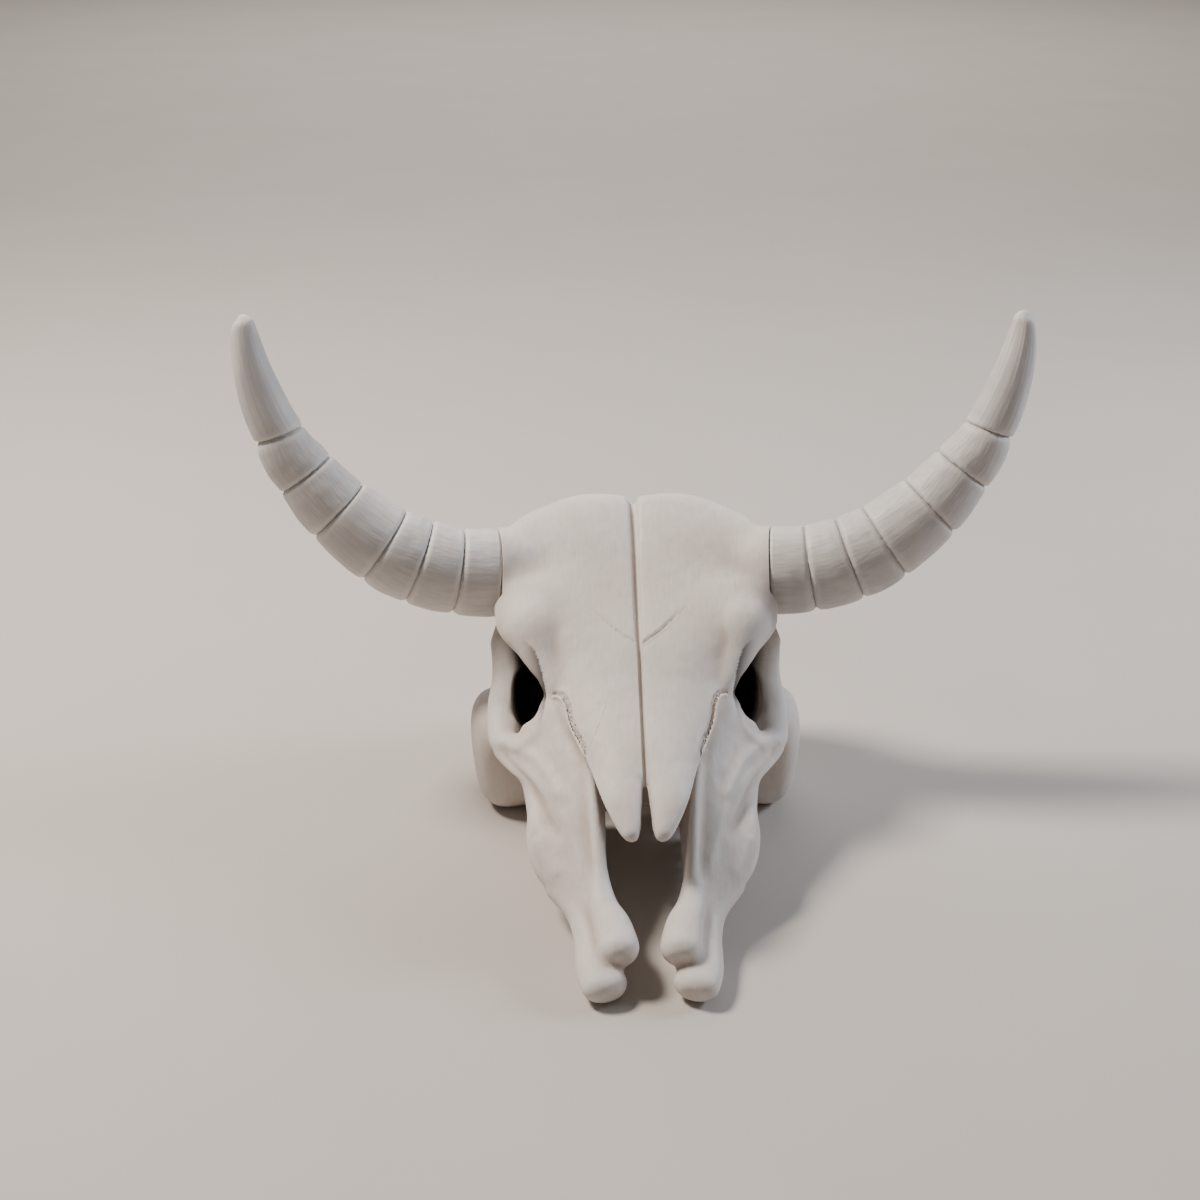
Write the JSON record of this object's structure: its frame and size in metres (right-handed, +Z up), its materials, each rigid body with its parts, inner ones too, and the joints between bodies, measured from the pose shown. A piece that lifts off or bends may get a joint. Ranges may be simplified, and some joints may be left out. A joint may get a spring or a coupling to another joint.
{
  "type": "bull skull with horns",
  "caption": "Life-size horned bull skull without the lower jaw, resting on its jaw tips, cheeks and nape; bones and ringed horn lengths are separate pieces.",
  "frame": {"origin": "on the ground, under the middle of the bounding box", "axes": "+X across the skull towards the animal's own left horn, -Y towards the nose, +Z up from the ground it rests on"},
  "size_m": [0.7026, 0.4714, 0.4374],
  "materials": {
    "bone": "dry, finely brushed bone",
    "horn": "dry pale horn, slightly smoother than the bone"
  },
  "bodies": {
    "root": {"frontal_left": "bone", "frontal_right": "bone", "nasal_left": "bone", "nasal_right": "bone", "maxilla_left": "bone", "maxilla_right": "bone", "premaxilla_left": "bone", "premaxilla_right": "bone", "zygomatic_left": "bone", "zygomatic_right": "bone", "braincase": "bone", "horn_left_ring_1": "horn", "horn_left_ring_2": "horn", "horn_left_ring_3": "horn", "horn_left_ring_4": "horn", "horn_left_ring_5": "horn", "horn_left_ring_6": "horn", "horn_left_tip": "horn", "horn_right_ring_1": "horn", "horn_right_ring_2": "horn", "horn_right_ring_3": "horn", "horn_right_ring_4": "horn", "horn_right_ring_5": "horn", "horn_right_ring_6": "horn", "horn_right_tip": "horn"}
  },
  "joints": []
}
